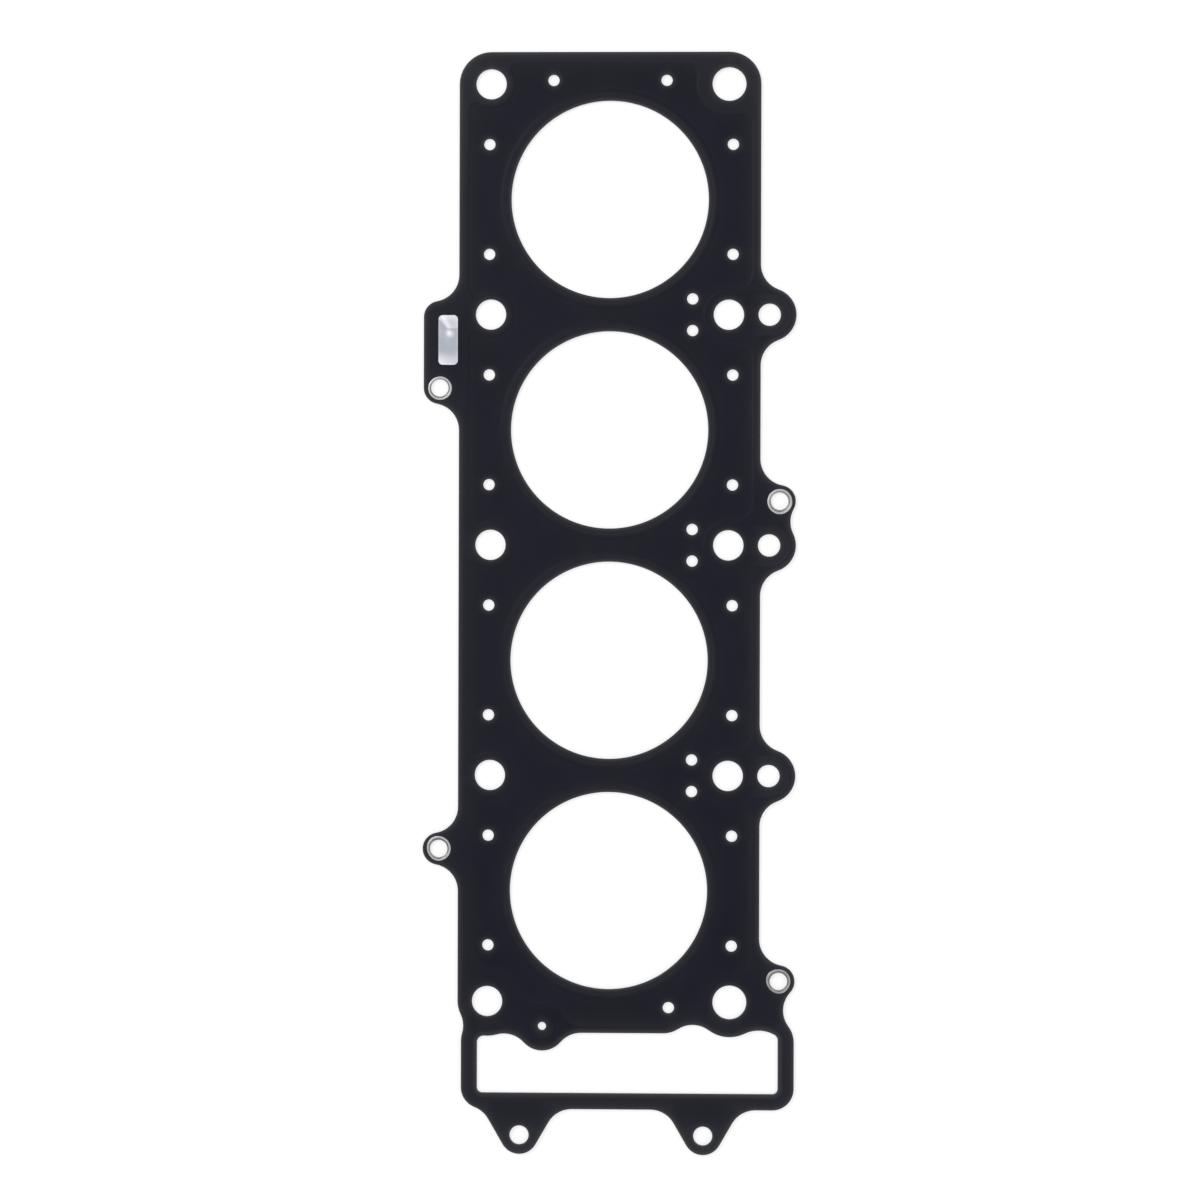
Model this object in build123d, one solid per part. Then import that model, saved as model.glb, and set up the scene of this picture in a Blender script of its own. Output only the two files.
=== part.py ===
from build123d import *
import math
import os

# Cylinder head gasket of a motorcycle's in-line four: two rubber-coated, stamped spring steel layers with a
# bare spacer sheet between them, held together by four tubular eyelets. Millimetres. It lies flat, X runs
# across the engine, Y along the row of cylinders, and the opening for the timing chain is at the -Y end.
# Sketches are drawn about the middle of the row of cylinders. The finished pieces are then moved, so that
# the origin lies under the middle of the whole outline.

# Sheets, and the play left on each side of the spacer, which closes when the stack is bolted down
coated_thickness = 0.25
spacer_thickness = 0.20
layer_play = 0.05

# Stamped beads: a half bead is a step in the sheet, a full bead a ridge round each bore
bead_step = 0.15
bead_slope_width = 1.0
full_bead_height = 0.20
full_bead_width = 2.8
full_bead_rim = 1.4

# Cylinder bores
bore_count = 4
bore_pitch = 86.0
bore_diameter = 73.6

# Stud holes, in rows between the bores and beyond both ends. Two of them hold locating dowels. The row at
# the chain end stands a little wider than the others.
stud_spacing = 88.8
stud_hole_diameter = 11.3
dowel_hole_diameter = 12.6
far_row_reach = 43.0
chain_row_reach = 41.5
chain_row_outset = 0.85

# Oil return holes, beside the studs on the +X side
oil_hole_diameter = 8.3
oil_hole_offset = 15.2

# Coolant holes. Those beside the bores lie a little outside the stud rows, and those at the two ends lie
# beyond the end rows.
coolant_hole_diameter = 4.2
coolant_left_outset = 0.6
coolant_right_outset = 1.5
coolant_half_gap = 20.5
web_coolant_x = 30.9
web_coolant_half_gap = 5.9
far_coolant_x = 21.1
far_coolant_rise = 1.4
chain_coolant_x = 22.5
chain_coolant_drop = 2.1

# Outline, whose edges follow the stud rows
side_edge_distance = 11.9
far_edge_distance = 12.0
far_corner_radius = 12.0
ear_blend = 10.0
oil_ear_radius = 10.0

# Eyelets, each on an ear of its own, placed from the nearest row of studs
eyelet_overhang = 7.2
eyelet_ear_radius = 6.0
first_eyelet_drop = 27.4
second_eyelet_rise = 16.5
third_eyelet_drop = 27.6
last_eyelet_rise = 7.9
eyelet_hole_radius = 3.6
eyelet_play = 0.05
eyelet_wall = 0.30
eyelet_flare = 0.40
eyelet_rim_radius = 4.65
eyelet_rim_height = 0.35
eyelet_rim_curl = 0.30
eyelet_rim_drifts = ((0.0, 0.0), (-0.08, -0.15), (0.0, 0.15), (-0.1, -0.15))

# Window in the upper layer, on a longer ear above the first eyelet
window_width = 7.3
window_length = 18.6
window_corner = 1.6
window_inset = 3.05
window_rise = 17.95
window_ear_length = 26.5

# Opening for the timing chain, placed from the last row of studs, with a roof that bends round them
tunnel_left_overhang = 3.75
tunnel_right_overhang = 18.05
tunnel_roof_drop = 11.7
tunnel_depth = 22.5
tunnel_floor_corner = 2.0
tunnel_roof_corner = 2.5
tunnel_stud_land = 13.0
tunnel_feed_land = 9.2
tunnel_blend = 10.0
tunnel_end_blend = 12.0
tunnel_end_inset = 7.1
roof_boss_offset = 24.55
roof_boss_radius = 10.0

# Oil feed hole above the roof of that opening
feed_hole_diameter = 3.0
feed_offset = 20.55
feed_rise = 2.5

# Frame round the opening, and the two bolt tabs under it
frame_width = 6.0
frame_top_rise = 6.8
frame_top_corner = 10.0
frame_floor_corner = 8.0
tab_insets = (21.85, 33.85)
tab_drop = 9.75
tab_radius = 7.1
tab_slope = 60.0
tab_hole_diameter = 7.1

# Width of raised land between each edge and the middle of its half bead
coolant_land_left = 3.6
coolant_land_right = 2.9
coolant_land_far = 4.2
coolant_land_chain = 2.7
tunnel_margin_width = 1.5

# Radius of each half bead that goes round a hole, and of the blends that lead into it
inner_stud_line = 8.5
inner_stud_blend = 2.5
oil_side_line = 9.4
oil_side_blend = 7.0
far_stud_line = 8.6
far_stud_blend = 2.5
far_dowel_line = 12.0
far_dowel_blend = 4.0
chain_stud_line = 11.2
chain_dowel_line = 9.7
chain_feed_line = 8.8
chain_line_blend = 8.0
slot_line = 7.5
feed_ring_line = 4.2

# Places that follow from the sizes
row_half = (bore_count - 1) * bore_pitch / 2
bore_ys = [row_half - i * bore_pitch for i in range(bore_count)]
inner_row_ys = [bore_y - bore_pitch / 2 for bore_y in bore_ys[:-1]]
far_row_y = row_half + far_row_reach
chain_row_y = -row_half - chain_row_reach
row_x = stud_spacing / 2
chain_row_x = row_x + chain_row_outset
half_body = row_x + side_edge_distance
eyelet_x = half_body + eyelet_overhang
far_edge_y = far_row_y + far_edge_distance
tunnel_left = chain_row_x + tunnel_left_overhang
tunnel_right = chain_row_x + tunnel_right_overhang
tunnel_roof_y = chain_row_y - tunnel_roof_drop
tunnel_floor_y = tunnel_roof_y - tunnel_depth
frame_left_x = -tunnel_left - frame_width
frame_right_x = tunnel_right + frame_width
frame_top_y = tunnel_roof_y + frame_top_rise
frame_floor_y = tunnel_floor_y - frame_width

bores = [Vector(0, bore_y) for bore_y in bore_ys]
left_studs = [Vector(-row_x, y) for y in inner_row_ys]
right_studs = [Vector(row_x, y) for y in inner_row_ys]
far_stud = Vector(-row_x, far_row_y)
far_dowel = Vector(row_x, far_row_y)
chain_stud = Vector(-chain_row_x, chain_row_y)
chain_dowel = Vector(chain_row_x, chain_row_y)
oil_holes = [stud + Vector(oil_hole_offset, 0) for stud in right_studs]
feed = Vector(feed_offset - chain_row_x, tunnel_roof_y + feed_rise)
tab_xs = (frame_left_x + tab_insets[0], frame_right_x - tab_insets[1])
tabs = [Vector(x, frame_floor_y - tab_drop) for x in tab_xs]
eyelets = [
    Vector(-eyelet_x, inner_row_ys[0] - first_eyelet_drop),
    Vector(eyelet_x, inner_row_ys[1] + second_eyelet_rise),
    Vector(-eyelet_x, inner_row_ys[-1] - third_eyelet_drop),
    Vector(eyelet_x, chain_row_y + last_eyelet_rise),
]

coolant_holes = [Vector(side * far_coolant_x, far_row_y + far_coolant_rise) for side in (-1, 1)]
coolant_holes += [Vector(chain_coolant_x, chain_row_y - chain_coolant_drop)]
for side in (-1, 1):
    coolant_holes += [Vector(-row_x - coolant_left_outset, y + side * coolant_half_gap) for y in bore_ys]
    coolant_holes += [Vector(row_x + coolant_right_outset, y + side * coolant_half_gap) for y in bore_ys]
    coolant_holes += [Vector(web_coolant_x, y + side * web_coolant_half_gap) for y in inner_row_ys]

# Heights in the stack, from the underside of the eyelets
lower_land_z = eyelet_rim_height
lower_field_z = lower_land_z + bead_step + coated_thickness
spacer_bottom_z = lower_field_z + layer_play
upper_field_z = spacer_bottom_z + spacer_thickness + layer_play
upper_land_z = upper_field_z + bead_step + coated_thickness
stack_height = upper_land_z + eyelet_rim_height

# Shortest edge that a sketch can hold
least_edge = 1e-5

up = Vector(0, 1)
down = Vector(0, -1)
left = Vector(-1, 0)
right = Vector(1, 0)


def disc(centre, radius):
    """Round face at a place."""
    return Pos(centre.X, centre.Y) * Circle(radius)


def block(x_a, y_a, x_b, y_b):
    """Rectangle between two corners."""
    return Pos((x_a + x_b) / 2, (y_a + y_b) / 2) * Rectangle(abs(x_b - x_a), abs(y_b - y_a))


def touch(centre, radius, towards):
    """Point of a round that lies nearest to another place."""
    return centre + (towards - centre).normalized() * radius


def arc_about(centre, start, end):
    """Arc round a centre, the short way from start to end."""
    halfway = (start + end) * 0.5
    return ThreePointArc(start, touch(centre, (start - centre).length, halfway), end)


def hollow_centre(a, radius_a, b, radius_b, blend, side):
    """Centre of a hollow arc that touches two rounds. Side 1 is to the left of the way from a to b."""
    reach_a = radius_a + blend
    reach_b = radius_b + blend
    gap = (b - a).length
    along = (reach_a**2 - reach_b**2 + gap**2) / (2 * gap)
    across = math.sqrt(reach_a**2 - along**2)
    direction = (b - a).normalized()
    return a + direction * along + direction.rotate(Axis.Z, 90) * (side * across)


def web(a, radius_a, b, radius_b, blend, side):
    """Fills the notch between two rounds up to a hollow arc."""
    hollow = hollow_centre(a, radius_a, b, radius_b, blend, side)
    start = touch(a, radius_a, hollow)
    end = touch(b, radius_b, hollow)
    return make_face([Line(a, start), arc_about(hollow, start, end), Line(end, b), Line(b, a)])


def edge_web(centre, radius, foot, outward, along, blend):
    """Fills the notch between a round and a straight edge. The foot is the centre's place on the edge, and
    may lie on the centre itself."""
    rise = (centre - foot).dot(outward)
    run = math.sqrt((radius + blend) ** 2 - (blend - rise) ** 2)
    hollow = foot + outward * blend + along * run
    start = touch(centre, radius, hollow)
    end = foot + along * run
    sides = [Line(centre, start), arc_about(hollow, start, end), Line(end, foot)]
    if abs(rise) > least_edge:
        sides.append(Line(foot, centre))
    return make_face(sides)


def ear(centre, radius, edge_x, outward, blend):
    """Round ear on an edge along Y, blended into it on both sides."""
    foot = Vector(edge_x, centre.Y)
    above = edge_web(centre, radius, foot, outward, up, blend)
    below = edge_web(centre, radius, foot, outward, down, blend)
    return disc(centre, radius) + above + below


def corner_island(centre, radius, corner, blend):
    """Round land in the corner of a field, blended into the land along both of its edges."""
    across = right if centre.X > corner.X else left
    inward = up if centre.Y > corner.Y else down
    beside = edge_web(centre, radius, Vector(corner.X, centre.Y), across, inward, blend)
    beyond = edge_web(centre, radius, Vector(centre.X, corner.Y), inward, across, blend)
    return disc(centre, radius) + block(centre.X, centre.Y, corner.X, corner.Y) + beside + beyond


def arc_chain(rounds, start, end):
    """Arcs along a row of rounds, each touching the next, from a start point to an end point."""
    ends = []
    for (centre, radius), (next_centre, next_radius) in zip(rounds, rounds[1:]):
        if next_radius > radius:
            ends.append(touch(next_centre, next_radius, centre))
        else:
            ends.append(touch(centre, radius, next_centre))
    starts = [start] + ends
    return [arc_about(centre, a, b) for (centre, _), a, b in zip(rounds, starts, ends + [end])]


def tunnel(grow):
    """Opening for the timing chain, or the line that runs round it at a distance."""
    wall_left = -tunnel_left - grow
    wall_right = tunnel_right + grow
    roof = tunnel_roof_y + grow
    floor = tunnel_floor_y - grow
    roof_corner = tunnel_roof_corner + grow
    floor_corner = tunnel_floor_corner + grow
    blend = tunnel_blend + grow
    end_blend = tunnel_end_blend + grow
    stud_land = tunnel_stud_land - grow
    feed_land = tunnel_feed_land - grow
    boss_land = roof_boss_radius - grow

    left_x = wall_left + roof_corner
    left_drop = math.sqrt((stud_land + roof_corner) ** 2 - (left_x - chain_stud.X) ** 2)
    left_corner = Vector(left_x, chain_stud.Y - left_drop)
    after_stud = hollow_centre(chain_stud, stud_land, feed, feed_land, blend, -1)
    after_feed_run = math.sqrt((feed_land + blend) ** 2 - (feed.Y - roof + blend) ** 2)
    after_feed = Vector(feed.X + after_feed_run, roof - blend)
    from_left = [
        (left_corner, roof_corner),
        (chain_stud, stud_land),
        (after_stud, blend),
        (feed, feed_land),
        (after_feed, blend),
    ]

    boss = Vector(chain_row_x - roof_boss_offset, tunnel_roof_y + roof_boss_radius)
    after_boss = hollow_centre(boss, boss_land, chain_dowel, stud_land, blend, -1)
    end_x = tunnel_right - tunnel_end_inset
    end_drop = math.sqrt((stud_land + end_blend) ** 2 - (end_x - chain_dowel.X) ** 2)
    end_arch = Vector(end_x, chain_dowel.Y - end_drop)
    right_x = wall_right - roof_corner
    right_rise = math.sqrt((end_blend - roof_corner) ** 2 - (right_x - end_x) ** 2)
    right_corner = Vector(right_x, end_arch.Y + right_rise)
    to_right = [
        (boss, boss_land),
        (after_boss, blend),
        (chain_dowel, stud_land),
        (end_arch, end_blend),
        (right_corner, roof_corner),
    ]

    left_top = Vector(wall_left, left_corner.Y)
    roof_start = Vector(after_feed.X, roof)
    roof_end = Vector(boss.X, roof)
    right_top = Vector(wall_right, right_corner.Y)
    right_floor = Vector(wall_right - floor_corner, floor + floor_corner)
    right_foot = Vector(wall_right, right_floor.Y)
    floor_right = Vector(right_floor.X, floor)
    left_floor = Vector(wall_left + floor_corner, floor + floor_corner)
    floor_left = Vector(left_floor.X, floor)
    left_foot = Vector(wall_left, left_floor.Y)
    edges = arc_chain(from_left, left_top, roof_start)
    edges += [Line(roof_start, roof_end)]
    edges += arc_chain(to_right, roof_end, right_top)
    edges += [Line(right_top, right_foot), arc_about(right_floor, right_foot, floor_right)]
    edges += [Line(floor_right, floor_left), arc_about(left_floor, floor_left, left_foot)]
    edges += [Line(left_foot, left_top)]
    return make_face(edges)


def tab_side(centre, side):
    """One sloping side of a bolt tab, with its hollow blend into the frame's edge or round its corner."""
    slope = math.radians(tab_slope)
    rising = Vector(side * math.cos(slope), math.sin(slope))
    facing = Vector(side * math.sin(slope), -math.cos(slope))
    tangent = centre + facing * tab_radius
    knee = tangent + rising * ((frame_floor_y - tangent.Y) / rising.Y)
    flank = make_face(Polyline(centre, tangent, knee, Vector(centre.X, frame_floor_y), close=True))
    run = ear_blend * math.tan(slope / 2)
    on_side = knee - rising * run
    on_frame = knee + Vector(side * run, 0)
    hollow = on_frame + down * ear_blend
    corner_x = frame_left_x + frame_floor_corner if side < 0 else frame_right_x - frame_floor_corner
    if side * on_frame.X < side * corner_x:
        notch = [Line(knee, on_side), arc_about(hollow, on_side, on_frame), Line(on_frame, knee)]
        return flank + make_face(notch)
    corner = Vector(corner_x, frame_floor_y + frame_floor_corner)
    foot = Vector(corner_x, frame_floor_y)
    offset = tangent + facing * ear_blend - corner
    along = offset.dot(rising)
    reach = frame_floor_corner + ear_blend
    run = -along - math.sqrt(along**2 - offset.length**2 + reach**2)
    on_side = tangent + rising * run
    hollow = on_side + facing * ear_blend
    on_frame = touch(corner, frame_floor_corner, hollow)
    notch = [Line(corner, on_frame), arc_about(hollow, on_frame, on_side)]
    notch += [Line(on_side, knee), Line(knee, foot), Line(foot, corner)]
    return flank + make_face(notch)


def frame_outline():
    """Frame round the opening for the chain, with its two bolt tabs."""
    frame = block(frame_left_x, frame_top_y, frame_right_x, frame_floor_y)
    frame = fillet(frame.vertices().group_by(Axis.Y)[0], frame_floor_corner)
    frame = fillet(frame.vertices().group_by(Axis.Y)[-1], frame_top_corner)
    for tab in tabs:
        frame += disc(tab, tab_radius)
        frame += tab_side(tab, -1)
        frame += tab_side(tab, 1)
    return frame


def outline():
    """Outer edge of every layer."""
    body = block(-half_body, far_edge_y, half_body, chain_row_y)
    body = fillet(body.vertices().group_by(Axis.Y)[-1], far_corner_radius)
    left_corner = Vector(frame_left_x + frame_top_corner, frame_top_y - frame_top_corner)
    right_corner = Vector(frame_right_x - frame_top_corner, frame_top_y - frame_top_corner)
    neck = [chain_stud, Vector(chain_stud.X, eyelets[-1].Y), eyelets[-1], right_corner, left_corner]
    shape = body + frame_outline() + make_face(Polyline(*neck, close=True))
    for oil_hole in oil_holes:
        shape += ear(oil_hole, oil_ear_radius, half_body, right, ear_blend)
    for eyelet in eyelets:
        side = left if eyelet.X < 0 else right
        shape += ear(eyelet, eyelet_ear_radius, side.X * half_body, side, ear_blend)
    window_end = eyelets[0] + up * window_ear_length
    shape += ear(window_end, eyelet_ear_radius, -half_body, left, ear_blend)
    shape += block(eyelets[0].X - eyelet_ear_radius, eyelets[0].Y, -half_body, window_end.Y)
    feet = [Vector(half_body, eyelets[1].Y), Vector(half_body, oil_holes[1].Y)]
    shape += make_face(Polyline(oil_holes[1], eyelets[1], *feet, close=True))
    shape += web(oil_holes[1], oil_ear_radius, eyelets[1], eyelet_ear_radius, ear_blend, -1)
    chain_boss = half_body - chain_row_x
    shape += disc(chain_stud, chain_boss)
    shape += web(chain_stud, chain_boss, left_corner, frame_top_corner, ear_blend, -1)
    return shape + web(eyelets[-1], eyelet_ear_radius, right_corner, frame_top_corner, ear_blend, 1)


def through_holes():
    """Every hole that passes through all three layers."""
    rounds = [(bore, bore_diameter) for bore in bores]
    rounds += [(stud, stud_hole_diameter) for stud in left_studs + right_studs + [far_stud, chain_stud]]
    rounds += [(dowel, dowel_hole_diameter) for dowel in (far_dowel, chain_dowel)]
    rounds += [(oil_hole, oil_hole_diameter) for oil_hole in oil_holes]
    rounds += [(coolant_hole, coolant_hole_diameter) for coolant_hole in coolant_holes]
    rounds += [(feed, feed_hole_diameter)]
    rounds += [(tab, tab_hole_diameter) for tab in tabs]
    rounds += [(eyelet, 2 * eyelet_hole_radius) for eyelet in eyelets]
    return tunnel(0) + [disc(centre, diameter / 2) for centre, diameter in rounds]


def coolant_field(grow):
    """Low field round the bores and coolant holes, or the line that follows its edge at a distance."""
    wall_left = -half_body + coolant_land_left - grow
    wall_right = half_body - coolant_land_right + grow
    far = far_edge_y - coolant_land_far + grow
    chain = tunnel_roof_y + coolant_land_chain - grow
    blend = chain_line_blend + grow
    stud_land = chain_stud_line - grow
    feed_land = chain_feed_line - grow
    field = block(wall_left, far, wall_right, chain)
    field -= corner_island(far_stud, far_stud_line - grow, Vector(wall_left, far), far_stud_blend + grow)
    field -= corner_island(far_dowel, far_dowel_line - grow, Vector(wall_right, far), far_dowel_blend + grow)
    field -= corner_island(chain_dowel, chain_dowel_line - grow, Vector(wall_right, chain), blend)
    for stud in left_studs:
        field -= ear(stud, inner_stud_line - grow, wall_left, right, inner_stud_blend + grow)
    for stud in right_studs:
        field -= ear(stud, oil_side_line - grow, wall_right, left, oil_side_blend + grow)
    field -= disc(chain_stud, stud_land)
    field -= disc(feed, feed_land)
    field -= edge_web(chain_stud, stud_land, Vector(wall_left, chain_stud.Y), right, up, blend)
    field -= web(chain_stud, stud_land, feed, feed_land, blend, 1)
    field -= edge_web(feed, feed_land, Vector(feed.X, chain), up, right, blend)
    under_roof = [Vector(feed.X, tunnel_roof_y), Vector(-half_body, tunnel_roof_y)]
    corner = [chain_stud, feed, *under_roof, Vector(-half_body, chain_row_y)]
    return field - make_face(Polyline(*corner, close=True))


def tunnel_margin(grow):
    """Low margin all round the opening for the chain."""
    return tunnel(tunnel_margin_width + grow)


def feed_ring(grow):
    """Low ring round the oil feed hole."""
    return disc(feed, feed_ring_line + grow)


def oil_slot(stud, oil_hole):
    """Maker of the low slot round a stud and the oil return hole beside it."""
    def field(grow):
        radius = slot_line + grow
        between = block(stud.X, stud.Y - radius, oil_hole.X, stud.Y + radius)
        return disc(stud, radius) + disc(oil_hole, radius) + between
    return field


def sloped(field, bottom):
    """Block as high as a half bead, whose walls slope outwards along the edge of a low field."""
    reach = bead_slope_width / 2
    low = Pos(0, 0, bottom) * field(-reach)
    high = Pos(0, 0, bottom + bead_step) * field(reach)
    return loft([low.face(), high.face()], ruled=True)


def full_bead(bore, foot_z):
    """Ridge round a bore, with a rounded back and a flat foot."""
    inner = bore_diameter / 2 + full_bead_rim
    outer = inner + full_bead_width
    crown = ((inner + outer) / 2, foot_z + full_bead_height)
    back = ThreePointArc((outer, foot_z), crown, (inner, foot_z))
    section = Plane.XZ * make_face([Line((inner, foot_z), (outer, foot_z)), back])
    return Pos(bore.X, bore.Y) * revolve(section, Axis.Z)


def coated_layer(blank):
    """Stamped sheet over the spacer: raised land, low fields nearest the spacer, and full beads."""
    fields = [coolant_field, tunnel_margin, feed_ring]
    fields += [oil_slot(stud, oil_hole) for stud, oil_hole in zip(right_studs, oil_holes)]
    sheet = Pos(0, 0, bead_step) * extrude(blank, amount=coated_thickness)
    for field in fields:
        sheet += sloped(field, 0)
        sheet -= sloped(field, coated_thickness)
    for bore in bores:
        sheet += full_bead(bore, coated_thickness)
        sheet -= full_bead(bore, 0)
    return sheet - extrude(through_holes(), amount=bead_step + 2 * coated_thickness)


def window():
    """Cutter for the window in the upper layer."""
    middle = eyelets[0] + Vector(window_inset, window_rise)
    pane = RectangleRounded(window_width, window_length, window_corner)
    return Pos(middle.X, middle.Y) * extrude(pane, amount=bead_step + coated_thickness)


def rolled_rim():
    """Round rim that stands on its flat side, with a sloping outer edge."""
    crown = eyelet_rim_height
    curl_x = eyelet_rim_radius - eyelet_rim_curl
    curl_z = crown - eyelet_rim_curl
    section = [(0, 0), (eyelet_rim_radius, 0), (eyelet_rim_radius, curl_z), (curl_x, crown), (0, crown)]
    return revolve(Plane.XZ * make_face(Polyline(*section, close=True)), Axis.Z)


def flared_bore():
    """Hollow of an eyelet up to half its height, with the flare that the punch leaves at its mouth."""
    bore = eyelet_hole_radius - eyelet_play - eyelet_wall
    waist = stack_height / 2
    section = [(0, 0), (bore + eyelet_flare, 0), (bore, eyelet_flare), (bore, waist), (0, waist)]
    return revolve(Plane.XZ * make_face(Polyline(*section, close=True)), Axis.Z)


def eyelet(centre, drift):
    """Tube through the three layers, rolled over on both faces. Its rims sit a little off its centre."""
    rim = rolled_rim()
    rim_centre = centre + drift
    tube = Cylinder(eyelet_hole_radius - eyelet_play, stack_height)
    body = Pos(centre.X, centre.Y, stack_height / 2) * tube
    body += Pos(rim_centre.X, rim_centre.Y, upper_land_z) * rim
    body += Pos(rim_centre.X, rim_centre.Y, lower_land_z) * mirror(rim, Plane.XY)
    hollow = flared_bore()
    hollow += Pos(0, 0, stack_height) * mirror(hollow, Plane.XY)
    return body - Pos(centre.X, centre.Y) * hollow


blank = outline()
coated = coated_layer(blank)
drifts = [Vector(*drift) for drift in eyelet_rim_drifts]
nodes = {
    "upper_layer": Pos(0, 0, upper_field_z) * (coated - window()),
    "middle_layer": Pos(0, 0, spacer_bottom_z) * extrude(blank - through_holes(), amount=spacer_thickness),
    "lower_layer": Pos(0, 0, lower_field_z) * mirror(coated, Plane.XY),
    "eyelets": Compound([eyelet(centre, drift).solid() for centre, drift in zip(eyelets, drifts)]),
}

middle = blank.bounding_box().center()
os.makedirs("parts", exist_ok=True)
for name, shape in nodes.items():
    placed = Pos(-middle.X, -middle.Y) * shape
    placed.label = name
    export_step(placed, f"parts/{name}.step")
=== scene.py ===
import math

import bpy
import numpy as np
from mathutils import Matrix, Vector
from mathutils.geometry import delaunay_2d_cdt


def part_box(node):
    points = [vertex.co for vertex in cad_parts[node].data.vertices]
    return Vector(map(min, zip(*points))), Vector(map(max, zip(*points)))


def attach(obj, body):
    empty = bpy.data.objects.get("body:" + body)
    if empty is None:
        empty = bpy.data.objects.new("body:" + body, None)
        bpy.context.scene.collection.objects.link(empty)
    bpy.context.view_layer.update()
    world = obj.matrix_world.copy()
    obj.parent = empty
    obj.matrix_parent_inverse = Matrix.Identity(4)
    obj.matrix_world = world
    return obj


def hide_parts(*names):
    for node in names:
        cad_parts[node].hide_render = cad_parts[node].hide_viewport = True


# Cylinder head gasket of a motorcycle's in-line four, lying flat and seen from above. Three thin sheets, held
# together by four rolled eyelets, are laid down in the order in which they are stacked.
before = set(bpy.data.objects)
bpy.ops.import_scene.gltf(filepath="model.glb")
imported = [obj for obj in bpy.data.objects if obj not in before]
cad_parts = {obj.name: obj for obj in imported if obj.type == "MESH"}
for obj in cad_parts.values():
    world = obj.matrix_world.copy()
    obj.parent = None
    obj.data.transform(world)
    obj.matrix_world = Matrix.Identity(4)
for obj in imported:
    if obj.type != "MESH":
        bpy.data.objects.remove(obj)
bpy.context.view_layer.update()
mm = 0.001


# Lower layer
# Spring steel sheet with a black rubber coat. It is blanked with all its holes, then stamped: the land along
# the edges and round the studs stands up, and each bore gets a full bead. Its beads look down.
coated_thickness = 0.25 * mm
bead_slope = 1.0 * mm
bore_rim = 1.4 * mm
bead_width = 2.8 * mm
bead_height = 0.2 * mm
bead_foot_power = 1.35
edge_roll = 0.04 * mm
edge_roll_width = 0.12 * mm

# What tells circles, bores, the window, the long cuts and a sheet's flats apart
round_error = 0.01 * mm
bore_least_radius = 30 * mm
window_limit = 30 * mm
long_cut = 100 * mm
flat_error = 0.001 * mm

# Where a sheet's points lie: along its lines, in rows beside each cut, across each step and across each full
# bead, and in a grid between. The gaps keep them off the lines, the cuts and each other.
cut_step = 1.3 * mm
hole_sides = 48
row_sides = 36
cut_rows = np.array([0.12, 0.5, 1.4]) * mm
slope_rows = np.linspace(-0.2, 1.2, 8) * bead_slope
bead_rows = np.linspace(-0.1, 1.1, 11) * bead_width
grid_step = 3.5 * mm
line_gap = 0.6 * grid_step
cut_gap = 0.7 * cut_rows[0]
point_gap = 0.75 * cut_rows[0]

# Distances are worked out in square tiles, and only up to a limit
tile_size = 20 * mm
reach_limit = 12 * mm


def visible_face(node, side):
    """Corners and triangles of one face of a sheet, counterclockwise from above: the upper face for side 1,
    the lower one for side -1. Its triangles lean less than 60 degrees."""
    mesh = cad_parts[node].data
    corners = np.empty(3 * len(mesh.vertices))
    mesh.vertices.foreach_get("co", corners)
    mesh.calc_loop_triangles()
    triangles = np.empty(3 * len(mesh.loop_triangles), dtype=np.int64)
    mesh.loop_triangles.foreach_get("vertices", triangles)
    same_place = 1e-7
    places, merged = np.unique(np.round(corners.reshape(-1, 3) / same_place), axis=0, return_inverse=True)
    places = places * same_place
    triangles = merged.ravel()[triangles].reshape(-1, 3)
    first, second, third = (places[triangles[:, i]] for i in range(3))
    normals = np.cross(second - first, third - first)
    facing = normals[:, 2] * side > math.cos(math.radians(60)) * np.linalg.norm(normals, axis=1)
    return places, triangles[facing][:, ::side]


def border(triangles):
    """Edges of a set of triangles that no second one of them shares, each with the set on its left."""
    edges = np.concatenate([triangles[:, [0, 1]], triangles[:, [1, 2]], triangles[:, [2, 0]]])
    count = triangles.max() + 1
    forward = edges[:, 0] * count + edges[:, 1]
    backward = edges[:, 1] * count + edges[:, 0]
    return edges[~np.isin(forward, backward)]


def closed_lines(edges, places):
    """The edges joined end to end into closed lines of points in the plane."""
    following = dict(edges.tolist())
    lines = []
    while following:
        start, at = following.popitem()
        line = [start]
        while at != start:
            line.append(at)
            at = following.pop(at)
        lines.append(places[line, :2])
    return lines


def fitted_circle(line):
    """Centre, radius and largest error of the circle that fits a closed line best, by least squares."""
    system = np.column_stack([2 * line, np.ones(len(line))])
    x, y, rest = np.linalg.lstsq(system, (line**2).sum(1), rcond=None)[0]
    radius = math.sqrt(rest + x * x + y * y)
    error = np.abs(np.hypot(line[:, 0] - x, line[:, 1] - y) - radius).max()
    return np.array([x, y]), radius, error


def is_round(line):
    """Whether a closed line is a circle, apart from a very small error."""
    return fitted_circle(line)[2] < round_error


def evened(line):
    """A round line becomes a finer circle, counterclockwise or clockwise as it was. Any other keeps its
    corners and gets points on its long straights."""
    if is_round(line):
        centre, radius, _ = fitted_circle(line)
        following = np.roll(line, -1, 0)
        area = (line[:, 0] * following[:, 1] - line[:, 1] * following[:, 0]).sum()
        count = max(hole_sides, round(2 * math.pi * radius / cut_step))
        angles = math.copysign(2 * math.pi / count, area) * np.arange(count)
        return centre + radius * np.column_stack([np.cos(angles), np.sin(angles)])
    gaps = np.roll(line, -1, 0) - line
    parts = np.ceil(np.linalg.norm(gaps, axis=1) / cut_step).astype(int)
    start = np.repeat(np.arange(len(line)), parts)
    share = (np.arange(parts.sum()) - np.repeat(np.cumsum(parts) - parts, parts)) / parts[start]
    return line[start] + gaps[start] * share[:, None]


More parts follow.
